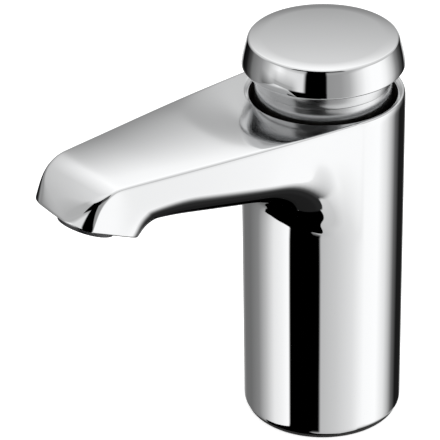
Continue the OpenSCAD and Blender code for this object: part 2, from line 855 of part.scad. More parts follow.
module aerator_diffuser() {
  color("white")
    at_outlet()
      lift(-aerator_h)
        difference() {
          cylinder(r = aerator_bore - fit, h = diffuser_t);
          for (i = [0 : diffuser_holes - 1])
            rotate(360 / diffuser_holes * i)
              translate([aerator_bore / 2, 0, -cut]) cylinder(d = diffuser_hole_d, h = diffuser_t + 2 * cut);
        }
}

module aerator_spacer() {
  color("lightgray") at_outlet() lift(spacer_z) tube(aerator_bore - fit, aerator_bore - spacer_w, spacer_t);
}

screen_reach = aerator_bore - spacer_w - screen_hole_d / 2;
screen_rows = floor(screen_reach / hole_pitch);

module aerator_screen() {
  color("lightgray")
    at_outlet()
      lift(screen_z)
        difference() {
          cylinder(r = aerator_bore - fit, h = screen_t);
          for (i = [-screen_rows : screen_rows], j = [-screen_rows : screen_rows])
            if (norm([i, j]) * hole_pitch <= screen_reach)
              translate([i * hole_pitch, j * hole_pitch, -cut])
                cylinder(d = screen_hole_d, h = screen_t + 2 * cut);
        }
}

body_casting();
base_gasket();
mounting_plate();
inlet_nipple();
nipple_seal();
inlet_strainer();
flow_limiter();
cartridge_body();
nose_seal();
nose_ring();
valve_seat();
valve_washer();
washer_holder();
valve_nut();
spindle();
piston();
piston_seal();
piston_clip();
return_spring();
metering_pin();
bonnet();
bonnet_seal();
spindle_seal();
cap_lock_nut();
button_cap();
button_collar();
button_skirt();
aerator_housing();
aerator_seal();
aerator_diffuser();
aerator_spacer();
aerator_screen();
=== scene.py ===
from math import atan2, cos, hypot, pi, radians, sin, sqrt, tan
import bmesh
import bpy
from mathutils import Matrix, Vector


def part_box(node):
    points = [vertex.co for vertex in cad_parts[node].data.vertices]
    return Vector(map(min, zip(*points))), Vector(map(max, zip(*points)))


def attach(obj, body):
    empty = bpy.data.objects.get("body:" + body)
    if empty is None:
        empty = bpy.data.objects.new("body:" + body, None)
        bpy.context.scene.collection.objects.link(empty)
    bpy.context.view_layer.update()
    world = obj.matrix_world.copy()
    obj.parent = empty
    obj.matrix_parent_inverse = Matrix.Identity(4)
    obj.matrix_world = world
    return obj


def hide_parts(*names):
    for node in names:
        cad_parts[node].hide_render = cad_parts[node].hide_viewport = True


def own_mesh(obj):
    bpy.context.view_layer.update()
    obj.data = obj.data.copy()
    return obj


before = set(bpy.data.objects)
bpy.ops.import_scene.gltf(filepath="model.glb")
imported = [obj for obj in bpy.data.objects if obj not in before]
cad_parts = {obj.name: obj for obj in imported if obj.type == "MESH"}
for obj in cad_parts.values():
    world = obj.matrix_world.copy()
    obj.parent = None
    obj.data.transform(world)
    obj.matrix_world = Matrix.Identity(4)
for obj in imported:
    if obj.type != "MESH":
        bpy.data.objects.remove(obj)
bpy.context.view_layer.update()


# Body and spout: one brass casting, round at the foot, with a flat spout that tapers to a rounded nose.
# The recess round the button, the cartridge chamber and the foot are turned.
# The outside is polished and chromed.
body_low, body_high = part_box("body_casting")
body_r = body_high.x
foot_z = body_low.z
rim_z = 0.107

# Sides of the spout: they draw together towards the nose, with a slight bow near the body.
side_slope = tan(radians(4.2))
side_bow_r = 0.75
side_bow_end = 0.054
nose_reach = 0.0800
nose_slope = tan(radians(3.4))


def half_width(reach):
    straight = min(reach, nose_reach)
    bowed = min(straight, side_bow_end)
    wide = body_r - straight * side_slope - (straight - bowed / 2) * bowed / side_bow_r
    return wide - (reach - straight) * nose_slope


# Underside: it rises towards the crook behind the nose, and meets the round wall in a fillet.
underside_angle = radians(8)
edge_r = 0.0075
root_r = 0.014
root_bite = 0.0006
crook_r = 0.0075
crook_reach = 0.0680
crook_z = 0.0846


def corner(gap, r, turned_by=pi / 2):
    into = r * sin(turned_by) - max(gap, 0)
    return r - sqrt(r * r - into * into) if into > 0 else 0


def underside_z(reach):
    start_reach = crook_reach - crook_r * sin(underside_angle)
    start_z = crook_z + crook_r * cos(underside_angle)
    return start_z - (start_reach - reach) * tan(underside_angle)


def spout_low_z(x, reach, off_wall):
    depth = rim_z - underside_z(reach)
    cut_depth = depth - corner(half_width(reach) - abs(x), edge_r)
    return rim_z - cut_depth - corner(off_wall + root_bite, root_r) * cut_depth / depth


# Top: crowned by about a millimetre, which begins a little in front of the round wall.
top_edge_r = 0.0005
crown = 0.0009
crown_side = 0.1
crown_start = 0.006
crown_run = 0.014


def crown_z(across, off_wall):
    grown = min(max((off_wall - crown_start) / crown_run, 0), 1)
    return crown * (1 + crown_side - across * across) * grown


# Nose: the top bends over a small radius into a long one, and the back runs straight down from the crook.
nose_r = 0.014
nose_angle = radians(50)
front_r = 0.050
front_angle = radians(56)
back_angle = radians(37)
back_len = 0.0020


def nose_top(share):
    bend = nose_r * nose_angle
    run = share * (bend + front_r * (front_angle - nose_angle))
    angle = min(run, bend) / nose_r
    bend_end = Vector((nose_reach + nose_r * sin(angle), rim_z - nose_r + nose_r * cos(angle)))
    end_angle = angle + max(run - bend, 0) / front_r
    return bend_end + front_r * Vector((sin(end_angle) - sin(angle), cos(end_angle) - cos(angle)))


def nose_low(share):
    bend = crook_r * (underside_angle + back_angle)
    run = share * (bend + back_len)
    angle = min(run, bend) / crook_r - underside_angle
    straight = max(run - bend, 0)
    reach = crook_reach + crook_r * sin(angle) + straight * cos(back_angle)
    return Vector((reach, crook_z + crook_r * cos(angle) - straight * sin(back_angle)))


# Beside the root, the spout's side runs down into the round body in one long, shallow sweep.
root_low = 0.067
root_pull = (0.85, 0.45, 0.1, 0, 0)
sweep_from = 0.5
sweep_end = 0.028
sweep_run = 0.022
sweep_foot = 0.0035
sweep_curve = 0.011


def eased(share):
    share = min(max(share, 0), 1)
    return share * share * (3 - 2 * share)


def beside_root(across):
    return eased((abs(across) - sweep_from) / (1 - sweep_from))


# The wall goes up in rings, which are swollen a little so that the subdivided wall has the true radius.
columns = 48
turn = 2 * pi / columns
swell = 3 / (2 + cos(turn))
foot_edge = 0.0004
wall_heights = (foot_z + foot_edge, 0.003, 0.014, 0.028, 0.042, 0.054)

casting = bmesh.new()
column_of = casting.verts.layers.int.new("column")
level_of = casting.verts.layers.int.new("level")
crease_of = casting.edges.layers.float.new("crease_edge")


def verts_of(geom):
    return [part for part in geom if isinstance(part, bmesh.types.BMVert)]


def edges_of(geom):
    return [part for part in geom if isinstance(part, bmesh.types.BMEdge)]


def faces_of(geom):
    return [part for part in geom if isinstance(part, bmesh.types.BMFace)]


def next_ring(edges, r, z, crease=0.0):
    made = bmesh.ops.extrude_edge_only(casting, edges=edges)["geom"]
    for vert in verts_of(made):
        angle = vert[column_of] * turn
        vert.co = Vector((r * swell * sin(angle), -r * swell * cos(angle), z))
    kept = [edge for edge in edges_of(made) if edge.is_boundary]
    for edge in kept:
        edge[crease_of] = crease
    return kept


bmesh.ops.create_circle(casting, segments=columns, radius=(body_r - foot_edge) * swell)
for vert in casting.verts:
    vert[column_of] = round(atan2(vert.co.x, -vert.co.y) / turn)
    vert.co.z = foot_z
foot_ring = list(casting.edges)
ring = foot_ring
for height in wall_heights:
    ring = next_ring(ring, body_r, height)

# The band of faces that the spout grows from reaches from the underside's fillet to the rim.
split = 11
level_shares = (0, 0.34, 0.68, 0.93, 1)
for level, share in enumerate(level_shares):
    ring = next_ring(ring, body_r, 0)
    for vert in {vert for edge in ring for vert in edge.verts}:
        vert[level_of] = level + 1
        column = max(-split, min(split, vert[column_of]))
        x = body_r * sin(column * turn)
        reach = body_r * cos(column * turn)
        low = spout_low_z(x, reach, 0)
        low += (root_low - low) * beside_root(x / (body_r * sin(split * turn)))
        high = rim_z - corner(half_width(reach) - abs(x), top_edge_r)
        vert.co.z = low + (high - low) * share
rim_ring = ring

patch = [face for face in casting.faces
         if all(vert[level_of] and abs(vert[column_of]) <= split for vert in face.verts)]


def next_station(faces, place, *where):
    made = bmesh.ops.extrude_face_region(casting, geom=faces)["geom"]
    for vert in verts_of(made):
        column = vert[column_of]
        across = sin(column * turn) / sin(split * turn)
        ahead = (cos(column * turn) - cos(split * turn)) / (1 - cos(split * turn))
        x, reach, z = place(across, ahead, vert[level_of] - 1, *where)
        vert.co = Vector((x, -reach, z))
    bmesh.ops.delete(casting, geom=[face for face in faces if face.is_valid], context="FACES")
    return faces_of(made)


def along_spout(across, ahead, level, low_reach, high_reach, bulge):
    share = level_shares[level]
    side_reach = low_reach + (high_reach - low_reach) * share
    reach = side_reach + bulge * ahead
    x = half_width(side_reach) * across
    off_wall = hypot(x, reach) - body_r
    low = spout_low_z(x, reach, off_wall)
    high = rim_z - corner(half_width(reach) - abs(x), top_edge_r) + crown_z(across, off_wall)
    sweep = beside_root(across) * eased((sweep_end - side_reach) / sweep_run)
    low += (root_low + sqrt(max(0, side_reach - sweep_foot) * sweep_curve) - low) * sweep
    pull = (1 - body_r / hypot(x, reach)) * sweep * root_pull[level]
    return x * (1 - pull), reach * (1 - pull), low + (high - low) * share


# Each station gives the side's reach at its lower edge and at its top, and how far the middle stands ahead.
full_bulge = body_r - body_r * cos(split * turn)
straight_stations = (
    (0.0040, 0.0040, full_bulge),
    (0.0060, 0.0060, full_bulge),
    (0.0090, 0.0090, full_bulge),
    (0.0130, 0.0130, full_bulge),
    (0.0180, 0.0185, full_bulge),
    (0.0245, 0.0255, 0.0180),
    (0.0305, 0.0320, 0.0135),
    (0.0370, 0.0400, 0.0095),
    (0.0460, 0.0510, 0.0050),
    (0.0545, 0.0615, 0.0018),
    (0.0610, 0.0695, 0.0004),
)
for station in straight_stations:
    patch = next_station(patch, along_spout, *station)

# Round the nose, the top edges open into soft corners and the lower edges grow tighter.
nose_corner_r = 0.0097
nose_corner_turn = radians(55)
outlet_edge_r = 0.0042
nose_shares = (0, 0.12, 0.25, 0.38, 0.5, 0.62, 0.74, 0.86, 0.95, 1)
full_crease_share = 0.6


def round_nose(across, ahead, level, round_share):
    top = nose_top(round_share)
    low = nose_low(round_share)
    depth = (low - top).length
    down = (low - top) / depth
    top_r = top_edge_r + (nose_corner_r - top_edge_r) * round_share ** 2
    low_r = edge_r + (outlet_edge_r - edge_r) * round_share
    top_turn = pi / 2 + (nose_corner_turn - pi / 2) * round_share
    start = corner(half_width(top.x) * (1 - abs(across)), top_r, top_turn)
    end = depth - corner(half_width(low.x) * (1 - abs(across)), low_r)
    start -= crown_z(across, nose_reach)
    place = top + down * (end + (start - end) * level_shares[level])
    return half_width(place.x) * across, place.x, place.y


for round_share in nose_shares:
    patch = next_station(patch, round_nose, round_share)
    for vert in {vert for face in patch for vert in face.verts}:
        if abs(vert[column_of]) == split and vert[level_of] == len(level_shares):
            for edge in vert.link_edges:
                behind = edge.other_vert(vert)
                if behind[column_of] == vert[column_of] and behind[level_of] == vert[level_of]:
                    edge[crease_of] = min(1, round_share / full_crease_share)

# Outlet: the open end of the nose is closed down to a round bore for the insert.
# The first step has no radius: it follows the nose's outline, a lip's width inside it.
outlet_top = nose_top(1)
outlet_low = nose_low(1)
outlet_down = (outlet_low - outlet_top).normalized()
outlet_back = Vector((0, -outlet_down.x, outlet_down.y))
outlet_out = Vector((0, outlet_back.z, -outlet_back.y))
bore_set_back = 0.0018
bore_centre = Vector((0, -(outlet_top.x + outlet_low.x) / 2, (outlet_top.y + outlet_low.y) / 2))
bore_centre += outlet_back * bore_set_back
bore_r = 0.0078
bore_depth = 0.0054
lip = 0.0005
outlet_steps = (
    (None, 0, 0.0),
    (bore_r + lip, 0, 0.0),
    (bore_r, -lip, 0.0),
    (bore_r, -bore_depth, 1.0),
    (bore_r / 2, -bore_depth, 0.0),
)

bmesh.ops.delete(casting, geom=patch, context="FACES")
other_rings = set(rim_ring + foot_ring)
outlet_ring = [edge for edge in casting.edges if edge.is_boundary and edge not in other_rings]
for r, out, crease in outlet_steps:
    made = bmesh.ops.extrude_edge_only(casting, edges=outlet_ring)["geom"]
    for vert in verts_of(made):
        offset = vert.co - bore_centre
        offset -= outlet_out * offset.dot(outlet_out)
        spread = r or offset.length - lip
        vert.co = bore_centre + offset.normalized() * spread + outlet_out * out
    outlet_ring = [edge for edge in edges_of(made) if edge.is_boundary]
    for edge in outlet_ring:
        edge[crease_of] = crease
bmesh.ops.contextual_create(casting, geom=outlet_ring)

# Inside: the recess, the chamber, the bores for the cartridge's nose and the nipple, and the hollow foot.
recess_r = 0.0215
recess_bevel = 0.0016
recess_drop = 0.0009
recess_z = 0.094
lip_crease = 0.7
shade_depth_below_rim = 0.002
chamber_r = 0.017
chamber_z = 0.052
nose_bore_r = 0.013
nose_bore_z = 0.033
nipple_bore_r = 0.00805
nipple_bore_z = 0.026
cavity_r = 0.0185
cavity_z = 0.010
plate_bore_r = 0.0204
inside = (
    (body_r - top_edge_r, rim_z, 0.0),
    (recess_r + recess_bevel, rim_z, lip_crease),
    (recess_r, rim_z - recess_drop, lip_crease),
    (recess_r, recess_z, 1.0),
    (chamber_r, recess_z, 1.0),
    (chamber_r, chamber_z, 1.0),
    (nose_bore_r, chamber_z, 1.0),
    (nose_bore_r, nose_bore_z, 1.0),
    (nipple_bore_r, nose_bore_z, 1.0),
    (nipple_bore_r, nipple_bore_z, 1.0),
    (cavity_r, nipple_bore_z, 1.0),
    (cavity_r, cavity_z, 1.0),
    (plate_bore_r, cavity_z, 1.0),
    (plate_bore_r, foot_z, 1.0),
)
ring = rim_ring
# Faces a couple of millimetres below the rim and deeper take the near-black inside material: painted shade
# in the recess and the chamber.
for r, z, crease in inside:
    above_shade = r >= recess_r and z > rim_z - shade_depth_below_rim
    outside_faces = set(casting.faces)
    ring = next_ring(ring, r, z, crease)
    for face in set(casting.faces) - outside_faces:
        face.material_index = 0 if above_shade else 1
bmesh.ops.bridge_loops(casting, edges=ring + foot_ring)
bmesh.ops.recalc_face_normals(casting, faces=casting.faces)


def piece_from(shape, name, material):
    for face in shape.faces:
        face.smooth = True
    mesh = bpy.data.meshes.new(name)
    shape.to_mesh(mesh)
    shape.free()
    mesh.materials.append(material)
    piece = bpy.data.objects.new(name, mesh)
    bpy.context.scene.collection.objects.link(piece)
    return piece


def link(material, source, target):
    material.node_tree.links.new(source, target)


def shader_of(name, colour, metallic, roughness):
    material = bpy.data.materials.new(name)
    material.use_nodes = True
    shader = material.node_tree.nodes["Principled BSDF"]
    shader.inputs["Base Color"].default_value = (*colour, 1)
    shader.inputs["Metallic"].default_value = metallic
    shader.inputs["Roughness"].default_value = roughness
    return material, shader


def noise_on(material, scale, detail, stretch=(1, 1, 1)):
    nodes = material.node_tree.nodes
    place = nodes.new("ShaderNodeTexCoord")
    mapping = nodes.new("ShaderNodeMapping")
    mapping.inputs["Scale"].default_value = stretch
    noise = nodes.new("ShaderNodeTexNoise")
    noise.inputs["Scale"].default_value = scale
    noise.inputs["Detail"].default_value = detail
    link(material, place.outputs["Object"], mapping.inputs["Vector"])
    link(material, mapping.outputs["Vector"], noise.inputs["Vector"])
    return noise


def spread_to(material, source, low, high, socket, start=0.0, end=1.0):
    ranged = material.node_tree.nodes.new("ShaderNodeMapRange")
    ranged.inputs["From Min"].default_value = start
    ranged.inputs["From Max"].default_value = end
    ranged.inputs["To Min"].default_value = low
    ranged.inputs["To Max"].default_value = high
    link(material, source, ranged.inputs["Value"])
    link(material, ranged.outputs["Result"], socket)


relief_depth = 0.0002


def finish(name, darker, paler, metallic, roughness, scale, stretch=(1, 1, 1), grain=0.0):
    material, shader = shader_of(name, paler, metallic, roughness[1])
    nodes = material.node_tree.nodes
    noise = noise_on(material, scale, 4, stretch)
    tint = nodes.new("ShaderNodeValToRGB")
    for element, position, colour in zip(tint.color_ramp.elements, (0.3, 0.7), (darker, paler)):
        element.position = position
        element.color = (*colour, 1)
    link(material, noise.outputs["Fac"], tint.inputs["Fac"])
    link(material, tint.outputs["Color"], shader.inputs["Base Color"])
    spread_to(material, noise.outputs["Fac"], *roughness, shader.inputs["Roughness"])
    if grain:
        relief = nodes.new("ShaderNodeBump")
        relief.inputs["Strength"].default_value = grain
        relief.inputs["Distance"].default_value = relief_depth
        link(material, noise.outputs["Fac"], relief.inputs["Height"])
        link(material, relief.outputs["Normal"], shader.inputs["Normal"])
    return material


# Inside of the casting below the chrome rim: near-black, a painted shade that keeps the recess gap and the
# chamber dark, with a cast grain in its tone and bumps.
inside_cast_shade = finish(
    "inside_cast_painted_shade", darker=(0.03, 0.027, 0.024), paler=(0.07, 0.063, 0.055),
    metallic=0.6, roughness=(0.42, 0.6), scale=520, grain=0.4)

# The polish is bright all over, and a little satin on the flat top round the button.
chrome_colour = (0.68, 0.685, 0.69)
chrome_roughness = (0.015, 0.035)
polish_scale = 240
satin = 0.11
satin_start = body_r + 0.004
satin_end = body_r + 0.022
flat_low = rim_z - 0.0006
flat_high = rim_z - 0.0002
body_chrome, body_shader = shader_of("polished_casting", chrome_colour, metallic=1.0, roughness=0.03)
polish = noise_on(body_chrome, polish_scale, detail=3)
body_nodes = body_chrome.node_tree.nodes
body_place = body_nodes.new("ShaderNodeTexCoord")
plan_place = body_nodes.new("ShaderNodeVectorMath")
plan_place.operation = "MULTIPLY"
plan_place.inputs[1].default_value = (1, 1, 0)
from_axis = body_nodes.new("ShaderNodeVectorMath")
from_axis.operation = "LENGTH"
body_height = body_nodes.new("ShaderNodeSeparateXYZ")
body_roughness = body_nodes.new("ShaderNodeMath")
body_roughness.operation = "MULTIPLY_ADD"
link(body_chrome, body_place.outputs["Object"], plan_place.inputs[0])
link(body_chrome, plan_place.outputs["Vector"], from_axis.inputs[0])
link(body_chrome, body_place.outputs["Object"], body_height.inputs["Vector"])
spread_to(body_chrome, from_axis.outputs["Value"], satin, 0.0, body_roughness.inputs[0],
          start=satin_start, end=satin_end)
spread_to(body_chrome, body_height.outputs["Z"], 0.0, 1.0, body_roughness.inputs[1],
          start=flat_low, end=flat_high)
spread_to(body_chrome, polish.outputs["Fac"], *chrome_roughness, body_roughness.inputs[2])
link(body_chrome, body_roughness.outputs["Value"], body_shader.inputs["Roughness"])

body = piece_from(casting, "body_and_spout", body_chrome)
body.data.materials.append(inside_cast_shade)
rounding = body.modifiers.new("rounding", "SUBSURF")
rounding.levels = 2
rounding.render_levels = 2
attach(body, "tap")
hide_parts("body_casting")


# Outlet insert: a black moulded ring screwed into the spout's nose, with a rubber washer behind it.
# It holds a pale spreader disc, a spacer and a fine steel screen, which mix air into the water.
def dress(material, *names):
    for name in names:
        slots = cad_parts[name].data.materials
        slots.clear()
        slots.append(material)


outlet_plastic = finish(
    "black_outlet_plastic", darker=(0.012, 0.012, 0.014), paler=(0.03, 0.03, 0.033),
    metallic=0.0, roughness=(0.1, 0.2), scale=300)
rubber = finish(
    "moulded_rubber", darker=(0.012, 0.012, 0.012), paler=(0.035, 0.034, 0.033),
    metallic=0.0, roughness=(0.6, 0.85), scale=420, grain=0.25)
acetal = finish(
    "natural_acetal", darker=(0.72, 0.69, 0.6), paler=(0.82, 0.79, 0.71),
    metallic=0.0, roughness=(0.32, 0.48), scale=160)
steel = finish(
    "drawn_steel", darker=(0.46, 0.47, 0.48), paler=(0.62, 0.63, 0.64),
    metallic=1.0, roughness=(0.2, 0.38), scale=220, stretch=(1, 1, 0.1))
dress(outlet_plastic, "aerator_housing")
dress(rubber, "aerator_seal")
dress(acetal, "aerator_diffuser", "aerator_spacer")
dress(steel, "aerator_screen")


# Foot: a rubber ring that seals on the deck, and a turned brass plate held in the foot by the inlet nipple.
# The nipple takes the hose; a steel strainer and a green limiter disc are pushed in behind it.
brass = finish(
    "turned_brass", darker=(0.6, 0.43, 0.19), paler=(0.78, 0.6, 0.31),
    metallic=1.0, roughness=(0.18, 0.36), scale=90, stretch=(1, 1, 12))
limiter_plastic = finish(
    "green_limiter", darker=(0.05, 0.25, 0.14), paler=(0.1, 0.4, 0.24),
    metallic=0.0, roughness=(0.38, 0.55), scale=260)
dress(rubber, "base_gasket", "nipple_seal")
dress(brass, "mounting_plate", "inlet_nipple")
dress(steel, "inlet_strainer")
dress(limiter_plastic, "flow_limiter")


# Cartridge: an acetal barrel with the timed valve in it, dropped in from the top and held by a brass bonnet.
# The spindle carries the rubber valve disc at its foot, the damping piston half way and the button on top.
dress(acetal, "cartridge_body", "nose_ring", "washer_holder", "piston")
dress(rubber, "nose_seal", "valve_washer", "piston_seal", "bonnet_seal", "spindle_seal")
dress(steel, "valve_seat", "valve_nut", "spindle", "piston_clip", "metering_pin", "cap_lock_nut")
dress(brass, "bonnet")


# Return spring: round steel wire coiled on a mandrel, with a closed turn at each end.
# It stands on the cartridge's step and lifts the piston, so it shortens as the button goes down.
spring_low, spring_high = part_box("return_spring")
wire_r = 0.0007
coil_r = min(spring_high.x, spring_high.y, -spring_low.x, -spring_low.y) - wire_r
closed_rise = 2 * wire_r
open_rise = spring_high.z - spring_low.z - 2 * wire_r - 2 * closed_rise
open_turns = 4
steps_a_turn = 40
wire_start = Matrix.Translation((coil_r, 0, spring_low.z + wire_r)) @ Matrix.Rotation(pi / 2, 4, "X")
coil = bmesh.new()
bmesh.ops.create_circle(coil, cap_ends=True, segments=12, radius=wire_r, matrix=wire_start)
wire_end = list(coil.faces)
for turns, rise in ((1, closed_rise), (open_turns, open_rise), (1, closed_rise)):
    steps = steps_a_turn * turns
    spun = bmesh.ops.spin(coil, geom=wire_end, cent=(0, 0, 0), axis=(0, 0, 1), dvec=(0, 0, rise / steps),
                          angle=2 * pi * turns, steps=steps, use_merge=False, use_duplicate=False)
    wire_end = spun["geom_last"]
bmesh.ops.recalc_face_normals(coil, faces=coil.faces)
spring = piece_from(coil, "return_spring_wire", steel)
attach(spring, "tap")
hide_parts("return_spring")
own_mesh(spring)


# Button: a turned and chromed cap on a sleeve in two steps, pressed by hand.
# The cap is screwed on the spindle. The collar and the skirt are pushed on under it, a fine groove apart.
cap_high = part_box("button_cap")[1]
collar_low, collar_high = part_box("button_collar")
skirt_low, skirt_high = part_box("button_skirt")


def turned(outline, rounds, steps=128):
    shape = bmesh.new()
    verts = [shape.verts.new((r, 0, z)) for r, z in outline]
    shape.faces.new(verts)
    for index, radius in rounds:
        bmesh.ops.bevel(shape, geom=[verts[index]], offset=radius, offset_type="OFFSET", affect="VERTICES",
                        segments=5, profile=0.5, material=-1, clamp_overlap=True)
    bmesh.ops.delete(shape, geom=list(shape.faces), context="FACES_ONLY")
    bmesh.ops.spin(shape, geom=list(shape.verts) + list(shape.edges), cent=(0, 0, 0), axis=(0, 0, 1),
                   dvec=(0, 0, 0), angle=2 * pi, steps=steps, use_merge=True, use_duplicate=False)
    bmesh.ops.remove_doubles(shape, verts=list(shape.verts), dist=1e-6)
    bmesh.ops.recalc_face_normals(shape, faces=shape.faces)
    return shape


cap_r = 0.0238
cap_top_r = 0.02185
cap_top_edge = 0.0006
cap_foot_edge = 0.0005
collar_show = 0.0048
flank_z = collar_low.z + collar_show
dome = 0.0004
flank_bow = 0.00025
flank_h = cap_high.z - dome - flank_z
dome_shares = (0.35, 0.6, 0.8, 1)
flank_shares = (0.25, 0.5, 0.75, 1)


def dome_point(share):
    return cap_top_r * share, cap_high.z - dome * share * share


def flank_point(share):
    bow = flank_bow * 4 * share * (1 - share)
    return cap_top_r + (cap_r - cap_top_r) * share + bow, flank_z + flank_h * (1 - share)


cap_outline = (
    (0, cap_high.z),
    *(dome_point(share) for share in dome_shares),
    *(flank_point(share) for share in flank_shares),
    (collar_high.x, flank_z),
    (collar_high.x, collar_high.z),
    (0, collar_high.z),
)
cap_top_corner = len(dome_shares)
cap_foot_corner = cap_top_corner + len(flank_shares)
cap_rounds = ((cap_top_corner, cap_top_edge), (cap_foot_corner, cap_foot_edge))
chrome, chrome_shader = shader_of("polished_chrome", chrome_colour, metallic=1.0, roughness=0.03)
plating = noise_on(chrome, polish_scale, detail=3)
spread_to(chrome, plating.outputs["Fac"], *chrome_roughness, chrome_shader.inputs["Roughness"])
cap = piece_from(turned(cap_outline, cap_rounds), "button_cap_turned", chrome)

collar_fit = 0.00005
collar_wall = 0.0014
collar_gap = 0.0002
collar_edge = 0.00012
collar_r = collar_high.x - collar_fit
collar_bore = collar_high.x - collar_wall
collar_top = collar_high.z - collar_gap
collar_outline = (
    (collar_r, collar_top),
    (collar_r, collar_low.z),
    (collar_bore, collar_low.z),
    (collar_bore, collar_top),
)
# The collar and the skirt share a chrome a little darker than the cap's: painted shade under the cap. Their
# satin turning is in the roughness.
sleeve_roughness = (0.2, 0.22)
turning_stretch = (1, 1, 30)
shaded_sleeve_chrome, sleeve_shader = shader_of("shaded_sleeve_chrome", (0.62, 0.625, 0.63), metallic=1.0, roughness=0.04)
turning = noise_on(shaded_sleeve_chrome, scale=60, detail=2, stretch=turning_stretch)
spread_to(shaded_sleeve_chrome, turning.outputs["Fac"], *sleeve_roughness, sleeve_shader.inputs["Roughness"])
collar = piece_from(turned(collar_outline, ((1, collar_edge),)), "button_collar_turned", shaded_sleeve_chrome)

groove = 0.00015
spigot_step = 0.0012
spigot_wall = 0.0007
spigot_r = skirt_high.x - spigot_step
skirt_bore = spigot_r - spigot_wall
skirt_top_edge = 0.0001
skirt_foot_edge = 0.0004
skirt_outline = (
    (skirt_high.x, collar_low.z - groove),
    (skirt_high.x, skirt_low.z),
    (skirt_bore, skirt_low.z),
    (skirt_bore, skirt_high.z),
    (spigot_r, skirt_high.z),
    (spigot_r, collar_low.z + groove / 2),
    (skirt_high.x - groove, collar_low.z + groove / 2),
    (skirt_high.x - groove, collar_low.z - groove),
)
skirt_rounds = ((0, skirt_top_edge), (1, skirt_foot_edge))
skirt = piece_from(turned(skirt_outline, skirt_rounds), "button_skirt_turned", shaded_sleeve_chrome)
for piece, node in ((cap, "button_cap"), (collar, "button_collar"), (skirt, "button_skirt")):
    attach(piece, "button")
    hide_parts(node)


# Studio: a plain white floor and one soft surround that the chrome mirrors, bright with dark panels.
# The camera stands about thirty degrees above the tap, on the spout's near side.
camera_turn = radians(52.3)
camera_back = 0.71831
camera_up = 0.47954
camera_tilt = 0.5256
camera_yaw = -0.0427
camera_roll = -0.0171
camera_data = bpy.data.cameras.new("camera")
camera = bpy.data.objects.new("camera", camera_data)
camera.matrix_world = (
    Matrix.Rotation(camera_turn, 4, "Z") @ Matrix.Translation((0, -camera_back, camera_up))
    @ Matrix.Rotation(-camera_yaw, 4, "Z") @ Matrix.Rotation(pi / 2 - camera_tilt, 4, "X")
    @ Matrix.Rotation(camera_roll, 4, "Z"))
camera_data.sensor_width = 36
camera_data.lens = 227.2
camera_data.clip_start = 0.01
bpy.context.scene.collection.objects.link(camera)
bpy.context.scene.camera = camera

floor_drop = 0.0002
floor_shape = bmesh.new()
bmesh.ops.create_grid(floor_shape, x_segments=4, y_segments=4, size=4)
floor_paint, floor_shader = shader_of("floor_paint", (0.9, 0.9, 0.9), metallic=0.0, roughness=0.9)
floor_shader.inputs["Emission Color"].default_value = (1, 1, 1, 1)
floor_shader.inputs["Emission Strength"].default_value = 0.7
floor = piece_from(floor_shape, "studio_floor", floor_paint)
floor.location.z = -floor_drop
floor.visible_glossy = False

# The surround is drawn in degrees: to the side from the camera's own direction, and up from the horizon.
full_turn = 360
full_rise = 180
world = bpy.data.worlds.new("studio_surround")
world.use_nodes = True
bpy.context.scene.world = world
nodes = world.node_tree.nodes
links = world.node_tree.links
way = nodes.new("ShaderNodeTexCoord")
facing = nodes.new("ShaderNodeMapping")
facing.inputs["Rotation"].default_value = (0, 0, pi / 2 - camera_turn)
links.new(way.outputs["Generated"], facing.inputs["Vector"])
around = nodes.new("ShaderNodeTexGradient")
around.gradient_type = "RADIAL"
links.new(facing.outputs["Vector"], around.inputs["Vector"])
apart = nodes.new("ShaderNodeSeparateXYZ")
links.new(facing.outputs["Vector"], apart.inputs["Vector"])
upward = nodes.new("ShaderNodeMath")
upward.operation = "ARCSINE"
links.new(apart.outputs["Z"], upward.inputs[0])


def scaled(source, low, high):
    ranged = nodes.new("ShaderNodeMapRange")
    ranged.inputs["From Min"].default_value = low
    ranged.inputs["From Max"].default_value = high
    links.new(source, ranged.inputs["Value"])
    return ranged.outputs["Result"]


around_share = around.outputs["Fac"]
rise_share = scaled(upward.outputs["Value"], -pi / 2, pi / 2)


def tones(source, full_angle, stops):
    node = nodes.new("ShaderNodeValToRGB")
    ramp = node.color_ramp
    while len(ramp.elements) < len(stops):
        ramp.elements.new(0.5)
    for element, (angle, tone) in zip(ramp.elements, stops):
        element.position = 0.5 + angle / full_angle
        element.color = (tone, tone, tone, 1)
    links.new(source, node.inputs["Fac"])
    return node.outputs["Color"]


def tones_around(*stops):
    return tones(around_share, full_turn, stops)


def tones_up(*stops):
    return tones(rise_share, full_rise, stops)


def band(start, end, blur):
    return (start - blur, 0), (start + blur, 1), (end - blur, 1), (end + blur, 0)


def math_on(operation, first, second):
    node = nodes.new("ShaderNodeMath")
    node.operation = operation
    links.new(first, node.inputs[0])
    links.new(second, node.inputs[1])
    return node.outputs["Value"]


def both(first, second):
    return math_on("MULTIPLY", first, second)


def over(lower, upper, share):
    mix = nodes.new("ShaderNodeMix")
    for source, socket in ((share, 0), (lower, 2), (upper, 3)):
        if isinstance(source, float):
            mix.inputs[socket].default_value = source
        else:
            links.new(source, mix.inputs[socket])
    return mix.outputs[0]


def outside(share):
    return over(1.0, 0.0, share)


def panel(lower, tone, sides, heights, blur):
    return over(lower, tone, both(tones_around(*band(*sides, blur)), tones_up(*band(*heights, blur))))


def left_of(curve, blur):
    limit = tones_up(*((height, 0.5 + side / full_turn) for height, side in curve))
    return scaled(math_on("SUBTRACT", limit, around_share), -blur / full_turn, blur / full_turn)


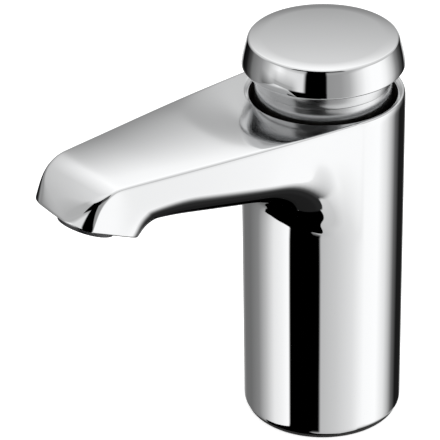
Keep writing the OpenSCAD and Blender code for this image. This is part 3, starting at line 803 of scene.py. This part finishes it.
# Tones of the table, walls and floor to each side, and of the floor's edge, ceiling and back by height.
table_tones = tones_around(
    (-180, 0.4), (-168, 0.34), (-150, 0.14), (-128, 0.15), (-106, 0.24), (-89, 0.52), (-74, 0.85),
    (-60, 0.95), (-50, 1.05), (-46, 0.0), (-4.6, 0.0), (-2, 0.52), (20, 0.62), (44, 0.78), (63, 1.02),
    (85, 1.05), (101, 0.8), (111, 0.51), (122, 0.13), (135, 0.01), (158, 0.01), (170, 0.3), (180, 0.4))
wall_tones = tones_around(
    (-180, 0.8), (-162, 0.7), (-152, 0.0), (-134, 0.01), (-122, 0.07), (-116, 0.17), (-108, 0.22),
    (-96, 0.3), (-84, 0.5), (-74, 0.78), (-64, 1.0), (-52, 0.78), (-28, 0.76), (-23, 0.0), (3, 0.0),
    (6, 0.3), (24, 0.33), (36, 0.44), (48, 0.74), (60, 0.98), (70, 1.05), (86, 1.05), (96, 0.94),
    (108, 0.64), (120, 0.25), (132, 0.08), (144, 0.015), (152, 0.0), (162, 0.7), (180, 0.8))
floor_tones = tones_around(
    (-180, 0.36), (-60, 0.38), (-30, 0.41), (-6, 0.49), (18, 0.57), (54, 0.65), (70, 0.6), (100, 0.5),
    (130, 0.42), (180, 0.36))
edge_tones = tones_up(
    (-90, 0.012), (-66, 0.014), (-60, 0.02), (-52, 0.02), (-46.5, 0.06), (-43.5, 0.18), (-41, 0.38),
    (-38, 0.7), (-35, 1.0))
ceiling_tones = tones_up(
    (-90, 0.3), (8, 0.3), (13, 0.4), (18, 0.53), (24, 0.57), (40, 0.65), (50, 0.72), (75, 0.9))
back_tones = tones_up(
    (-90, 0.25), (17, 0.25), (20, 0.31), (22, 0.38), (25, 0.49), (27, 0.56), (30, 0.68), (33, 0.81),
    (37, 0.98), (42, 1.07))

# Curved edges of the dark and lit areas on the floor, each as a height and the side that it reaches there.
near_shade = left_of((
    (-76, 60), (-60, 38), (-52, 20), (-48, 6), (-45, -4), (-42, -14), (-39, -19), (-36, -14), (-34, -9),
    (-33, -4.5)), blur=1.2)
far_shade = left_of((
    (-56, -180), (-54, -160), (-52, -115), (-48, -103), (-42, -98), (-38, -95), (-37, -85), (-36, -60),
    (-35, -48)), blur=1.2)
lit_floor = left_of((
    (-80, 20), (-70, 26), (-62, 32), (-56, 38), (-52, 48), (-49, 58), (-46, 59), (-42, 57), (-38, 55),
    (-34, 53)), blur=2)
wall_foot = left_of(((-39, 180), (-37.5, 80), (-36, 68), (-30, 66)), blur=2)

# The surround is laid up from the floor to the ceiling, and the panels go on in front of it.
surround = over(floor_tones, table_tones, tones_up((-42, 0), (-36, 1)))
surround = over(surround, table_tones, both(far_shade, tones_up(*band(-56, 0, blur=2))))
dark_floor = both(near_shade, tones_up(*band(-100, -24, blur=1)))
surround = over(surround, 0.0, both(outside(far_shade), dark_floor))
floor_edge = both(wall_foot, tones_up(*band(-100, -35, blur=1)))
surround = over(surround, edge_tones, both(outside(lit_floor), floor_edge))
surround = over(surround, wall_tones, tones_up((-27, 0), (-23, 1)))
surround = panel(surround, tone=0.42, sides=(-74, -38), heights=(-12, -3), blur=5)
surround = panel(surround, tone=0.16, sides=(-95, -40), heights=(-26, -10), blur=4)
surround = panel(surround, tone=0.0, sides=(-47, 4.5), heights=(-26, -10), blur=1)
surround = over(surround, ceiling_tones, tones_up((8, 0), (15, 1)))
back_wall = tones_around((-172, 1), (-132, 0), (132, 0), (172, 1))
surround = over(surround, back_tones, both(back_wall, tones_up((11, 0), (16, 1))))
surround = panel(surround, tone=0.3, sides=(-168, -112), heights=(0, 14), blur=4)
surround = panel(surround, tone=0.45, sides=(-100, -48), heights=(15, 45), blur=5)
surround = panel(surround, tone=0.08, sides=(4, 32), heights=(15, 48), blur=2)
surround = panel(surround, tone=0.0, sides=(-24, 4.5), heights=(-26, 19), blur=1)
surround = panel(surround, tone=0.0, sides=(-48, 9), heights=(17, 46), blur=1)
seen = nodes.new("ShaderNodeLightPath")
shown = over(surround, 1.0, seen.outputs["Is Camera Ray"])
links.new(shown, nodes["Background"].inputs["Color"])
nodes["Background"].inputs["Strength"].default_value = 1.37
bpy.context.scene.view_settings.view_transform = "Standard"
